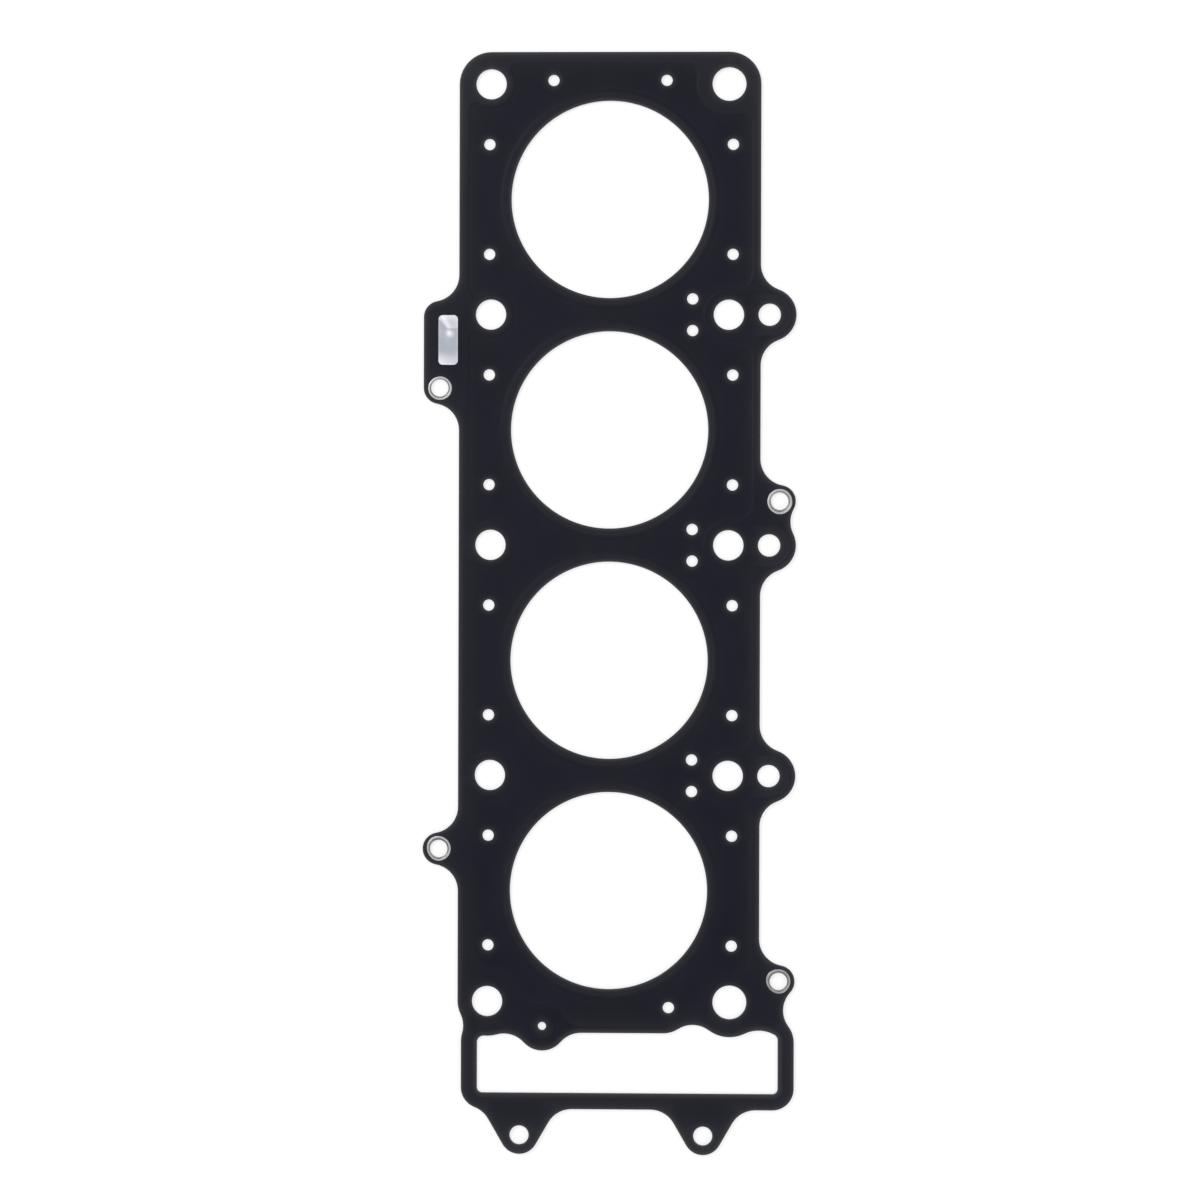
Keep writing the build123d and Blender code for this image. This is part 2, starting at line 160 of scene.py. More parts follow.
def beside(line, offset):
    """Points along a closed line, one step apart, moved to its left by an offset."""
    closed = np.concatenate([line, line[:1]])
    lengths = np.concatenate([[0], np.cumsum(np.linalg.norm(np.diff(closed, axis=0), axis=1))])
    count = max(row_sides, round(lengths[-1] / cut_step))
    stops = lengths[-1] / count * np.arange(count)
    row = np.column_stack([np.interp(stops, lengths, closed[:, i]) for i in range(2)])
    along = np.roll(row, -1, 0) - np.roll(row, 1, 0)
    along /= np.linalg.norm(along, axis=1, keepdims=True)
    return row + offset * np.column_stack([-along[:, 1], along[:, 0]])


def nearest(points, lines):
    """For each point, the distance to the nearest of some closed lines, and whether they enclose it. It is
    worked out tile by tile, each with only the pieces of line that matter to it."""
    distance = np.full(len(points), reach_limit)
    enclosed = np.zeros(len(points), dtype=bool)
    if not lines:
        return distance, enclosed
    start = np.concatenate(lines)
    run = np.concatenate([np.roll(line, -1, 0) for line in lines]) - start
    low, high = np.minimum(start, start + run), np.maximum(start, start + run)
    tiles = np.floor(points / tile_size).astype(int)
    for tile in np.unique(tiles, axis=0):
        part = np.flatnonzero((tiles == tile).all(1))
        tile_low, tile_high = tile * tile_size, (tile + 1) * tile_size
        near = ((low < tile_high + reach_limit) & (high > tile_low - reach_limit)).all(1)
        away = points[part, None] - start[near]
        share = np.clip((away * run[near]).sum(2) / (run[near] ** 2).sum(1), 0, 1)
        gap = np.linalg.norm(away - share[..., None] * run[near], axis=2)
        distance[part] = gap.min(1, initial=reach_limit)
        level_with = (low[:, 1] < tile_high[1]) & (high[:, 1] > tile_low[1])
        first, step = start[level_with], run[level_with]
        away = points[part, None] - first
        spans = (away[..., 1] >= 0) != (away[..., 1] >= step[:, 1])
        passed = (step[:, 0] * away[..., 1] - away[..., 0] * step[:, 1] > 0) == (step[:, 1] > 0)
        enclosed[part] = (spans & passed).sum(1) % 2 == 1
    return distance, enclosed


def round_cuts(cuts, least, most=math.inf):
    """Centre and radius of each round cut whose radius lies between two limits."""
    circles = [fitted_circle(cut)[:2] for cut in cuts if is_round(cut)]
    return [(centre, radius) for centre, radius in circles if least < radius < most]


def ring_share(points, bores):
    """Place across the full bead of the nearest bore: 0 at its inner foot, 1 at its outer foot."""
    far_off = 9.0
    share = np.full(len(points), far_off)
    for centre, radius in bores:
        away = np.hypot(*(points - centre).T) - radius - bore_rim
        near = np.abs(away) < np.abs(share * bead_width)
        share = np.where(near, away / bead_width, share)
    return share


def stamped_height(points, lands, bores, step):
    """Height above the low field: at each edge of the land a step that falls like 3t^2 - 2t^3, and over each
    full bead a rounded ridge, 1 - (2t - 1)^2 to a power that draws in its feet."""
    distance, in_field = nearest(points, lands)
    across = np.clip(np.where(in_field, distance, -distance) / bead_slope, 0, 1)
    rise = 1 - across * across * (3 - 2 * across)
    share = ring_share(points, bores)
    ridge = np.clip(1 - (2 * share - 1) ** 2, 0, 1) ** bead_foot_power
    return step * rise + bead_height * ridge


def plan(cuts, lands, bores):
    """Points of a sheet in the plane: those of its cut lines first, then rows beside them, rows across each
    step and bead, and a wide grid between, which keeps a bead's width off each bead's crest."""
    edge = np.concatenate(cuts)
    rows = [beside(cut, offset) for cut in cuts for offset in cut_rows]
    steps = [beside(land, -offset) for land in lands for offset in slope_rows]
    for centre, radius in bores:
        count = round(2 * math.pi * radius / cut_step)
        angles = 2 * math.pi / count * np.arange(count)
        ring = np.column_stack([np.cos(angles), np.sin(angles)])
        steps += [centre + (radius + bore_rim + offset) * ring for offset in bead_rows]
    low, high = edge.min(0), edge.max(0)
    across, along = (np.arange(low[i] + grid_step / 2, high[i], grid_step) for i in range(2))
    grid = np.stack(np.meshgrid(across, along), -1).reshape(-1, 2)
    from_lines = nearest(grid, lands + [beside(cut, 0) for cut in cuts])[0]
    from_crest = np.abs(ring_share(grid, bores) - 0.5)
    grid = grid[(from_lines > line_gap) & (from_crest > 1)]
    inner = np.concatenate(steps + rows + [grid])
    from_cuts, inside = nearest(inner, cuts)
    inner = inner[inside & (from_cuts > cut_gap)]
    _, kept = np.unique(np.round(inner / point_gap), axis=0, return_index=True)
    return np.concatenate([edge, inner[np.sort(kept)]])


def filled(points, cuts):
    """Triangles between the points, counterclockwise, with the cut lines as fixed edges and nothing outside,
    and those edges."""
    counts = np.array([len(cut) for cut in cuts])
    ends = np.cumsum(counts)
    on_cuts = np.arange(ends[-1])
    following = on_cuts + 1
    following[ends - 1] = ends - counts
    edges = np.column_stack([on_cuts, following])
    corners = [Vector(point) for point in (points / mm).tolist()]
    same_corner = 1e-6
    _, _, triangles, sources, _, _ = delaunay_2d_cdt(corners, edges.tolist(), [], 0, same_corner, True)
    source = np.array([found[0] for found in sources])
    triangles = source[np.array(triangles)]
    first, second, third = (points[triangles[:, i]] for i in range(3))
    turn = np.cross(second - first, third - first)
    triangles[turn < 0] = triangles[turn < 0][:, ::-1]
    doubtful = np.flatnonzero((triangles < ends[-1]).all(1))
    middles = points[triangles[doubtful]].mean(1)
    outside = doubtful[~nearest(middles, cuts)[1]]
    return np.delete(triangles, outside, 0), edges


def is_window(line):
    """Whether a cut line is the window's: a short one that isn't round."""
    return not is_round(line) and np.ptp(line, axis=0).max() < window_limit


def sheet_lines(node, side, low_level):
    """The cut lines of a sheet, the edges of its land, and how high the land stands over the low field."""
    places, face = visible_face(node, side)
    cut_edges = border(face)
    cuts = [evened(line) for line in closed_lines(cut_edges, places)]
    land_level = (places[cut_edges][..., 2] * side).max()
    step = land_level - low_level * side
    if step < flat_error:
        return cuts, [], 0.0
    off_land = np.abs(places[face][..., 2] * side - land_level).max(1)
    land_edges = border(face[off_land < flat_error])
    on_cut = np.isin(land_edges @ [len(places), 1], cut_edges @ [len(places), 1])
    return cuts, [evened(line) for line in closed_lines(land_edges[~on_cut], places)], step


def measures(points, cuts, lands, bores):
    """What the finishes follow, as distances: reach is the one from the outline, the bores and the chain
    opening, rim from any cut but the window, slope from the edge of the land into the low field, and ring
    from the inner foot of a full bead outwards."""
    long_cuts = [cut for cut in cuts if np.linalg.norm(cut - np.roll(cut, 1, 0), axis=1).sum() > long_cut]
    to_land, in_field = nearest(points, lands)
    return {
        "reach": nearest(points, long_cuts)[0],
        "rim": nearest(points, [cut for cut in cuts if not is_window(cut)])[0],
        "slope": np.where(in_field, to_land, -to_land),
        "ring": ring_share(points, bores) * bead_width,
    }


def new_object(name, data):
    """Puts a mesh, a lamp or a camera into the scene."""
    thing = bpy.data.objects.new(name, data)
    bpy.context.scene.collection.objects.link(thing)
    return thing


def sheet_mesh(name, lines, side, thickness, low_level):
    """One sheet: each point of its plan twice, on the face that looks out and, one thickness behind it, on
    the face that looks to its neighbour, with walls along the cut lines. The outer edges are rolled a
    little. Its attributes are the measures in millimetres."""
    cuts, lands, step = lines
    bores = round_cuts(cuts, bore_least_radius) if lands else []
    points = plan(cuts, lands, bores)
    triangles, walls = filled(points, cuts)
    roll = edge_roll * np.clip(1 - nearest(points, cuts)[0] / edge_roll_width, 0, 1) ** 2
    outer_z = low_level + side * (stamped_height(points, lands, bores, step) - roll)
    inner_z = outer_z + side * (roll - thickness)
    count = len(points)
    corners = np.concatenate([np.column_stack([points, outer_z]), np.column_stack([points, inner_z])])
    quads = np.column_stack([walls[:, 0], walls[:, 0] + count, walls[:, 1] + count, walls[:, 1]])
    faces = triangles[:, ::side].tolist() + (triangles[:, ::-side] + count).tolist()
    faces += quads[:, ::side].tolist()
    mesh = bpy.data.meshes.new(name)
    mesh.from_pydata(corners.tolist(), [], faces)
    mesh.polygons.foreach_set("material_index", [0] * (2 * len(triangles)) + [1] * len(quads))
    for label, values in measures(points, cuts, lands, bores).items():
        attribute = mesh.attributes.new(label, "FLOAT", "POINT")
        attribute.data.foreach_set("value", np.tile(values / mm, 2))
    mesh.shade_smooth()
    mesh.set_sharp_from_angle(angle=math.radians(30))
    return new_object(name, mesh)


class Paint:
    """A socket in a material's node tree. Sums and products of it become Math nodes."""

    def __init__(self, tree, socket=None):
        self.tree = tree
        self.socket = socket

    def add(self, kind, settings, inputs, output=0):
        """Adds a node. Its settings are set first, then its sockets take their numbers, colours or links."""
        node = self.tree.nodes.new(kind)
        for setting, value in settings.items():
            setattr(node, setting, value)
        for name, value in inputs.items():
            if isinstance(value, Paint):
                self.tree.links.new(value.socket, node.inputs[name])
            else:
                node.inputs[name].default_value = value
        return Paint(self.tree, node.outputs[output] if node.outputs else None)

    def math(self, operation, first, second=0.0):
        """Adds a Math node."""
        return self.add("ShaderNodeMath", {"operation": operation}, {0: first, 1: second})

    def __add__(self, other):
        return self.math("ADD", self, other)

    def __sub__(self, other):
        return self.math("SUBTRACT", self, other)

    def __rsub__(self, other):
        return self.math("SUBTRACT", other, self)

    def __mul__(self, other):
        return self.math("MULTIPLY", self, other)

    __radd__ = __add__
    __rmul__ = __mul__


def new_finish(name):
    """An empty material with nodes, and the place to start painting it."""
    finish = bpy.data.materials.new(name)
    finish.use_nodes = True
    finish.node_tree.nodes.clear()
    return finish, Paint(finish.node_tree)


def grain(paint, where, size, detail, stretch=(1, 1, 1)):
    """Cloudy noise from 0 to 1 with spots of about that size, drawn out along any axis with less stretch."""
    scaled = paint.add("ShaderNodeMapping", {}, {"Vector": where, "Scale": stretch})
    settings = {"noise_dimensions": "3D"}
    return paint.add("ShaderNodeTexNoise", settings, {"Vector": scaled, "Scale": 1 / size, "Detail": detail})


def fading(paint, distance, width):
    """1 at the start and less further out, by a factor e for each width."""
    return paint.math("EXPONENT", distance * (-1 / width))


def soft_step(paint, distance, middle, width):
    """0 below the middle and 1 above it, with a smooth change as wide as it says."""
    settings = {"interpolation_type": "SMOOTHSTEP"}
    inputs = {"Value": distance, "From Min": middle - width / 2, "From Max": middle + width / 2}
    return paint.add("ShaderNodeMapRange", settings, inputs)


def bump_over(paint, distance, middle, width):
    """A soft hump: 1 in the middle, falling off like a bell curve."""
    away = (distance - middle) * (1 / width)
    return paint.math("EXPONENT", away * away * -1)


def round_spot(paint, across, along, middle, size):
    """A soft round or oval spot: the product of a hump across and one along."""
    return bump_over(paint, across, middle[0], size[0]) * bump_over(paint, along, middle[1], size[1])


def between(paint, share, first, second):
    """The first colour where the share is 0 or less, the second where it is 1 or more, else a blend."""
    settings = {"data_type": "RGBA", "clamp_factor": True}
    return paint.add("ShaderNodeMix", settings, {0: share, 6: first, 7: second}, 2)


def shaded(paint, sockets):
    """Ends a finish with its shader, whose sockets take what they are given."""
    shader = paint.add("ShaderNodeBsdfPrincipled", {}, sockets)
    paint.add("ShaderNodeOutputMaterial", {}, {"Surface": shader})


# Colour of the coat inside, and the tint of all that makes it greyer
coat_black = (0.0026, 0.0028, 0.0096, 1)
coat_grey = (1.0, 1.03, 0.95, 1)

# Painted highlight along the cuts and on the beads' crests, painted shade at the feet of steps and beads, and
# grey
# on the lands: where it lies or how far it fades, in millimetres of the sheet's measures, and how much it
# adds or takes
cut_fade, cut_highlight = 0.7, 0.035
edge_fade, edge_highlight = 0.9, 0.006
band_fade, band_highlight = 4.4, 0.0088
low_side_middle, low_side_width = 0.3, 0.8
stud_land_middle, stud_land_width, stud_land_light = 4, 4, 0.0019
below_step_fade, below_step_light = 2.6, 0.0038
crest_middle, crest_width, crest_highlight = 0.75, 0.6, 0.0022
step_foot_middle, step_foot_width, step_foot_shade = 0.7, 0.45, 0.0013
outer_foot_middle, outer_foot_width, outer_foot_shade = 2.4, 0.5, 0.0016
inner_foot_middle, inner_foot_width, inner_foot_shade = -0.05, 0.45, 0.0042

# Painted light and shade at single places along or across the gasket, where the light falls unevenly: the
# middle and width of its change, and its amount
far_land_middle, far_land_width, far_land_painted_light = 170 * mm, 60 * mm, 0.004
slots_middle, slots_width, slots_painted_light = 54 * mm, 6 * mm, 0.004
tabs_middle, tabs_width, tabs_painted_light = -195 * mm, 20 * mm, 0.006
chain_end_middle, chain_end_width, chain_end_painted_shade = -120 * mm, 40 * mm, 0.0012
roof_middle, roof_size, roof_painted_shade = (-10 * mm, -160 * mm), (28 * mm, 10 * mm), 0.004

# What is spread all over the coat: rubs along the gasket, clouds, the patches in which the crests' painted
# highlight shows, and the skin's texture
rub_size, rub_stretch, rub_light, rub_roughness = 2.4 * mm, (1, 0.2, 1), 0.0022, 0.12
cloud_size, cloud_light = 16 * mm, 0.003
highlight_patch_size, highlight_patch_middle, highlight_patch_softness, highlight_patch_least = 7 * mm, 0.52, 0.2, 0.1
fine_size, fine_height, peel_size, skin_depth = 0.16 * mm, 0.4, 1.1 * mm, 0.02 * mm
all_over_light = 0.002
coat_roughness = 0.46
coat_gloss = 0.11


def rubber_coat():
    """Thin black rubber film. It is bluish black inside, and a painted highlight makes it greyer towards
    every cut, most of all along the outer edges. It is also a little greyer on the studs' lands and just
    below each step, and painted light makes it lighter at the far end, in the oil slots and on the bolt tabs.
    Painted shade makes it darker along the roof of the chain opening, and a little round the last bore. The
    foot of each bead has painted shade and its crest a painted highlight in patches, and there are faint
    rubs."""
    finish, paint = new_finish("black_rubber_coat")
    where = paint.add("ShaderNodeTexCoord", {}, {}, "Object")
    across, along = (paint.add("ShaderNodeSeparateXYZ", {}, {0: where}, axis) for axis in range(2))
    reach, rim, slope, ring = (
        paint.add("ShaderNodeAttribute", {"attribute_name": label}, {}, "Fac")
        for label in ("reach", "rim", "slope", "ring")
    )
    clouds = grain(paint, where, cloud_size, 3)
    rubs = grain(paint, where, rub_size, 5, rub_stretch)
    highlight_patches = soft_step(paint, grain(paint, where, highlight_patch_size, 2), highlight_patch_middle, highlight_patch_softness)
    low_side = soft_step(paint, slope, low_side_middle, low_side_width)
    land = 1 - low_side
    # Painted highlight on the beads' crests, shown only in patches
    crest = bump_over(paint, ring, crest_middle, crest_width) * (highlight_patch_least + highlight_patches)
    # Painted highlights along the cuts and outer edges, greyer lands, and painted light at the far end, in
    # the slots and on the tabs, then the coat's own rubs and clouds
    lighter = [
        fading(paint, rim, cut_fade) * cut_highlight,
        fading(paint, reach, edge_fade) * edge_highlight,
        fading(paint, reach, band_fade) * band_highlight,
        land * soft_step(paint, reach, stud_land_middle, stud_land_width) * stud_land_light,
        low_side * fading(paint, slope, below_step_fade) * below_step_light,
        crest * crest_highlight,
        # Painted light at the far end, in the oil slots and on the bolt tabs
        land * soft_step(paint, along, far_land_middle, far_land_width) * far_land_painted_light,
        low_side * soft_step(paint, across, slots_middle, slots_width) * slots_painted_light,
        (1 - soft_step(paint, along, tabs_middle, tabs_width)) * tabs_painted_light,
        (rubs - 0.5) * rub_light,
        (clouds - 0.5) * cloud_light,
    ]
    # Painted shade at the feet of steps and beads, beyond the chain opening's end and on its roof
    darker = [
        bump_over(paint, slope, step_foot_middle, step_foot_width) * step_foot_shade,
        bump_over(paint, ring, outer_foot_middle, outer_foot_width) * outer_foot_shade,
        bump_over(paint, ring, inner_foot_middle, inner_foot_width) * inner_foot_shade,
        bump_over(paint, along, chain_end_middle, chain_end_width) * chain_end_painted_shade,
        land * round_spot(paint, across, along, roof_middle, roof_size) * roof_painted_shade,
    ]
    grey = paint.math("MAXIMUM", sum(lighter, all_over_light) - sum(darker), 0.0)
    added = {"data_type": "RGBA", "blend_type": "ADD"}
    colour = paint.add("ShaderNodeMix", added, {0: grey, 6: coat_black, 7: coat_grey}, 2)
    height = grain(paint, where, fine_size, 2) * fine_height + grain(paint, where, peel_size, 2)
    skin = paint.add("ShaderNodeBump", {}, {"Height": height, "Strength": 0.1, "Distance": skin_depth})
    shaded(paint, {
        "Base Color": colour,
        "Roughness": coat_roughness + (rubs - 0.5) * rub_roughness,
        "Specular IOR Level": coat_gloss,
        "Normal": skin,
    })
    return finish


def cut_steel():
    """Bare steel of the cut edges, with streaks across the sheet that the blanking die leaves."""
    finish, paint = new_finish("cut_steel")
    where = paint.add("ShaderNodeTexCoord", {}, {}, "Object")
    streaks = grain(paint, where, 0.12 * mm, 3, (1, 1, 0.1))
    dull, bright = (0.1, 0.1, 0.105, 1), (0.26, 0.26, 0.27, 1)
    shaded(paint, {
        "Base Color": between(paint, streaks, dull, bright),
        "Metallic": 1.0,
        "Roughness": 0.38 + streaks * 0.2,
    })
    return finish


def level(node, end):
    """Lowest (end 0) or highest (end 1) level of a piece."""
    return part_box(node)[end].z


coat = rubber_coat()
cut_edge = cut_steel()
lower_field = level("lower_layer", 1) - coated_thickness
lower_lines = sheet_lines("lower_layer", -1, lower_field)
lower = sheet_mesh("lower_sheet", lower_lines, -1, coated_thickness, lower_field)
lower.data.materials.append(coat)
lower.data.materials.append(cut_edge)
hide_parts("lower_layer")
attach(lower, "root")


# Middle layer
# Flat spacer of bare rolled stainless steel, which sets the thickness. It shows in the window of the upper
# layer, where its rolling lines lie under a painted reflection with one painted bright spot.
spacer_top = level("middle_layer", 1)
spacer_thickness = spacer_top - level("middle_layer", 0)

# The window is the only short cut of the upper layer that isn't round
upper_field = level("upper_layer", 0) + coated_thickness
upper_lines = sheet_lines("upper_layer", 1, upper_field)
window = next(cut for cut in upper_lines[0] if is_window(cut))
window_middle = (window.min(0) + window.max(0)) / 2
window_half = (np.ptp(window, axis=0) / 2 / mm).tolist()

# The painted reflection and highlights seen in the window: places in millimetres from its middle, widths, and
# how bright each part is
patch_slant, patch_edge, patch_edge_width = 1.1, 3.95, 1.3
patch_foot, patch_foot_width, patch_sheen = 4.4, 0.9, 0.38
streak_slant, streak_middle, streak_width, streak_sheen = 1.7, 5.3, 1.9, 0.45
spot_middle, spot_size, spot_sheen = (0.3, 2.55), (1.05, 1.3), 1.1
glint_middle, glint_size, glint_sheen = (1.6, 2.1), (0.9, 1.0), 0.35
near_end_middle, near_end_width, near_end_slant, near_end_sheen = -6.2, 6.0, 0.08, 0.62
far_end_middle, far_end_width, far_end_sheen = 7.6, 2.0, 0.25
border_fade, border_sheen = 0.3, 0.45
line_size, line_stretch, line_sheen = 0.12 * mm, (1, 0.03, 1), 0.14
steel_cloud_size, steel_cloud_sheen = 4 * mm, 0.3


def rolled_steel():
    """Bright steel with fine rolling lines along the sheet. Under the window a painted reflection gives it a
    pale patch with a slanting edge at the far end, a painted bright round spot and a weaker one below it, and
    painted light at the near end and along the border."""
    finish, paint = new_finish("rolled_stainless")
    where = paint.add("ShaderNodeTexCoord", {}, {}, "Object")
    from_middle = {"Vector": where, "Location": (-window_middle[0], -window_middle[1], 0)}
    local = paint.add("ShaderNodeMapping", {}, from_middle)
    across, along = (paint.add("ShaderNodeSeparateXYZ", {}, {0: local}, axis) * (1 / mm) for axis in range(2))
    lines = grain(paint, where, line_size, 3, line_stretch)
    clouds = grain(paint, where, steel_cloud_size, 3)
    patch = soft_step(paint, along + across * patch_slant, patch_edge, patch_edge_width)
    patch = patch * soft_step(paint, along, patch_foot, patch_foot_width)
    streak = patch * bump_over(paint, along + across * streak_slant, streak_middle, streak_width)
    to_side = window_half[0] - paint.math("ABSOLUTE", across)
    to_end = window_half[1] - paint.math("ABSOLUTE", along)
    near_end = 1 - soft_step(paint, along, near_end_middle, near_end_width)
    # Painted reflection and highlights, with the steel's own clouds and rolling lines
    sheen = sum([
        patch * patch_sheen,
        streak * streak_sheen,
        round_spot(paint, across, along, spot_middle, spot_size) * spot_sheen,
        round_spot(paint, across, along, glint_middle, glint_size) * glint_sheen,
        near_end * (1 - across * near_end_slant) * near_end_sheen,
        soft_step(paint, along, far_end_middle, far_end_width) * far_end_sheen,
        fading(paint, paint.math("MINIMUM", to_side, to_end), border_fade) * border_sheen,
        (clouds - 0.5) * steel_cloud_sheen,
        (lines - 0.5) * line_sheen,
    ])
    dull, bright = (0.345, 0.36, 0.41, 1), (0.71, 0.71, 0.74, 1)
    scratches = paint.add("ShaderNodeBump", {}, {"Height": lines, "Strength": 0.15, "Distance": 0.004 * mm})
    shaded(paint, {
        "Base Color": between(paint, sheen, dull, bright),
        "Metallic": 1.0,
        "Roughness": 0.3 + clouds * 0.1,
        "Normal": scratches,
    })
    return finish


spacer_lines = sheet_lines("middle_layer", 1, spacer_top)
middle = sheet_mesh("middle_sheet", spacer_lines, 1, spacer_thickness, spacer_top)
middle.data.materials.append(rolled_steel())
middle.data.materials.append(cut_edge)
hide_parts("middle_layer")
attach(middle, "root")


# Upper layer
# The same stamping as the lower layer, in the same coated spring steel, turned over so that its beads look
# up, with one window cut through it.
upper = sheet_mesh("upper_sheet", upper_lines, 1, coated_thickness, upper_field)
upper.data.materials.append(coat)
upper.data.materials.append(cut_edge)
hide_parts("upper_layer")
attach(upper, "root")


# Eyelets
# Short steel tubes through all three sheets. A punch rolls both ends over into a round rim that clamps the
# stack, which leaves a crease between the rim and the flared mouth. No two come out quite alike.
bore_radius = 3.25 * mm
tube_radius = 3.55 * mm
mouth_radius = 3.6 * mm
crease_radius = 3.74 * mm
rim_radius = 4.65 * mm
rim_height = 0.35 * mm
rim_side_inset = 0.02 * mm
rim_side_rise = 0.03 * mm
rim_foot_inset = 0.12 * mm
mouth_depth = 0.32 * mm
mouth_drop = 0.11 * mm
crease_drop = 0.17 * mm
eyelet_top = level("eyelets", 1)
eyelet_sides = 120

# The holes of the sheets that they fill
hole_radius = 3.6 * mm
hole_error = 0.02 * mm

# How far out from the tube the rim's unevenness takes to grow, how far the mouth's reaches from its edge,
# and half the height of the plain tube between the two ends
rim_reach = 0.35 * mm
mouth_reach = 0.3 * mm
waist_half = 0.4 * mm

# What differs from the far eyelet to the near one: the rim's drift off the bore, its oval and its three
# corners with the way that they point, the mouth's lobes and how much the rim falls short of its radius
rim_drifts = np.array([(0.1, -0.14), (0.05, -0.15), (0.03, 0.15), (-0.05, 0.17)]) * mm
rim_ovals = np.array([0.03, 0.04, 0.12, 0.08]) * mm
oval_turns = np.radians([8, 85, 111, 131])
rim_corners = np.array([0.0, 0.0, 0.06, 0.08]) * mm
corner_turns = np.radians([0, 0, 17, 40])
mouth_lobes = np.array([0.01, 0.02, 0.055, 0.03]) * mm
rim_shrink = np.array([0.23, -0.03, 0.1, 0.1]) * mm
punch_marks = 0.012 * mm

# How much darker each eyelet is all over, painted shade in the crease and down the bore, and where the last
# two lie
eyelet_darkening = (0.06, 0.03, 0.07, 0.35)
crease_shade = (1.5, 0.8, 1.4, 0.6)
crease_shade_radius = 3.66 * mm
crease_shade_width = 0.2 * mm
crease_shade_depth = 0.3 * mm
bore_shade = 0.15
bore_shade_depth = 0.2 * mm


def half_section():
    """Radius, height under the crown and nearness to the crease along the upper half of an eyelet's section:
    up the bore, round a quarter ellipse to the mouth, through the crease, over a half ellipse and back
    underneath."""
    mouth_turn = np.radians(np.linspace(0, 90, 7))
    mouth_out = mouth_radius - (mouth_radius - bore_radius) * np.cos(mouth_turn)
    mouth_up = -mouth_drop - mouth_depth * (1 - np.sin(mouth_turn))
    crown_turn = np.radians(np.linspace(165, 0, 13))
    crown_out = (crease_radius + rim_radius) / 2 + (rim_radius - crease_radius) / 2 * np.cos(crown_turn)
    crown_up = (np.sin(crown_turn) - 1) * crease_drop
    curl_out = [rim_radius - rim_side_inset, rim_radius - rim_foot_inset, tube_radius]
    curl_up = [rim_side_rise - rim_height, -rim_height, -rim_height]
    waist = -eyelet_top / 2
    radius = np.concatenate([[bore_radius], mouth_out, [crease_radius], crown_out, curl_out, [tube_radius]])
    height = np.concatenate([[waist], mouth_up, [-crease_drop], crown_up, curl_up, [waist]])
    crease = np.exp(-(((radius - crease_shade_radius) / crease_shade_width) ** 2))
    return radius, height, crease * (height > -crease_shade_depth)


def eyelet_surface(centre, number, draw):
    """Points of one eyelet on a grid of section places and angles, and the share of darkening at each: its
    own darkening all over, and painted shade in the crease and down the bore. Its rim drifts off the bore, is
    a little oval, has three soft corners and shallow marks of the punch, and the mouth has a few lobes, all
    only at the upper and lower ends."""
    radius, drop, crease = half_section()
    # Painted shade in the crease and down the bore, over the eyelet's own darkening
    shade_and_darkening = eyelet_darkening[number] + crease_shade[number] * crease + bore_shade * (drop < -bore_shade_depth)
    radius, shade_and_darkening = np.concatenate([radius, radius[-2:0:-1]]), np.concatenate([shade_and_darkening, shade_and_darkening[-2:0:-1]])
    height = np.concatenate([eyelet_top + drop, -drop[-2:0:-1]])
    angle = 2 * math.pi / eyelet_sides * np.arange(eyelet_sides)
    on_rim = np.clip((radius - tube_radius) / rim_reach, 0, 1)
    on_rim = on_rim * (np.abs(height - eyelet_top / 2) > waist_half)
    on_mouth = np.clip(1 - np.abs(radius - mouth_radius) / mouth_reach, 0, 1) * (1 - on_rim)
    lean, phase = draw.uniform(0, 2 * math.pi, 2)
    uneven = rim_ovals[number] * np.cos(2 * (angle - oval_turns[number])) - rim_shrink[number]
    uneven = uneven + rim_corners[number] * np.cos(3 * (angle - corner_turns[number]))
    uneven = uneven + punch_marks * (np.cos(5 * angle + phase) + 0.7 * np.cos(9 * angle + lean))
    lobes = mouth_lobes[number] * np.cos(4 * angle + phase)
    swung = radius[:, None] + on_rim[:, None] * uneven + on_mouth[:, None] * lobes
    x = centre[0] + swung * np.cos(angle) + on_rim[:, None] * rim_drifts[number, 0]
    y = centre[1] + swung * np.sin(angle) + on_rim[:, None] * rim_drifts[number, 1]
    z = height[:, None] + 0 * angle
    return np.stack([x, y, z], -1).reshape(-1, 3), np.repeat(shade_and_darkening, eyelet_sides)


def eyelet_faces(rows):
    """Four-cornered faces of one eyelet, whose last row and last column of points join on to the first."""
    row, column = np.meshgrid(np.arange(rows), np.arange(eyelet_sides), indexing="ij")
    next_row, next_column = (row + 1) % rows, (column + 1) % eyelet_sides
    corners = [(row, column), (next_row, column), (next_row, next_column), (row, next_column)]
    return np.stack([ring * eyelet_sides + place for ring, place in corners], -1).reshape(-1, 4)


def punched_steel():
    """Plain steel with fine pits and clouds, darker on some eyelets than on others, and with painted shade in
    the crease and down the bore.
    """
    finish, paint = new_finish("punched_steel")
    where = paint.add("ShaderNodeTexCoord", {}, {}, "Object")
    shade_and_darkening = paint.add("ShaderNodeAttribute", {"attribute_name": "shade_and_darkening"}, {}, "Fac")
    speckle = grain(paint, where, 0.3 * mm, 4)
    clouds = grain(paint, where, 1.6 * mm, 3)
    # Darkening: painted shade in the crease and the bore, and each eyelet's own darker tone
    share = shade_and_darkening * (0.8 + speckle * 0.6) + (clouds - 0.5) * 0.6
    clean, dull = (0.425, 0.425, 0.43, 1), (0.11, 0.11, 0.115, 1)
    pits = paint.add("ShaderNodeBump", {}, {"Height": speckle, "Strength": 0.25, "Distance": 0.01 * mm})
    shaded(paint, {
        "Base Color": between(paint, share, clean, dull),
        "Metallic": 1.0,
        "Roughness": 0.34 + clouds * 0.15,
        "Normal": pits,
    })
    return finish


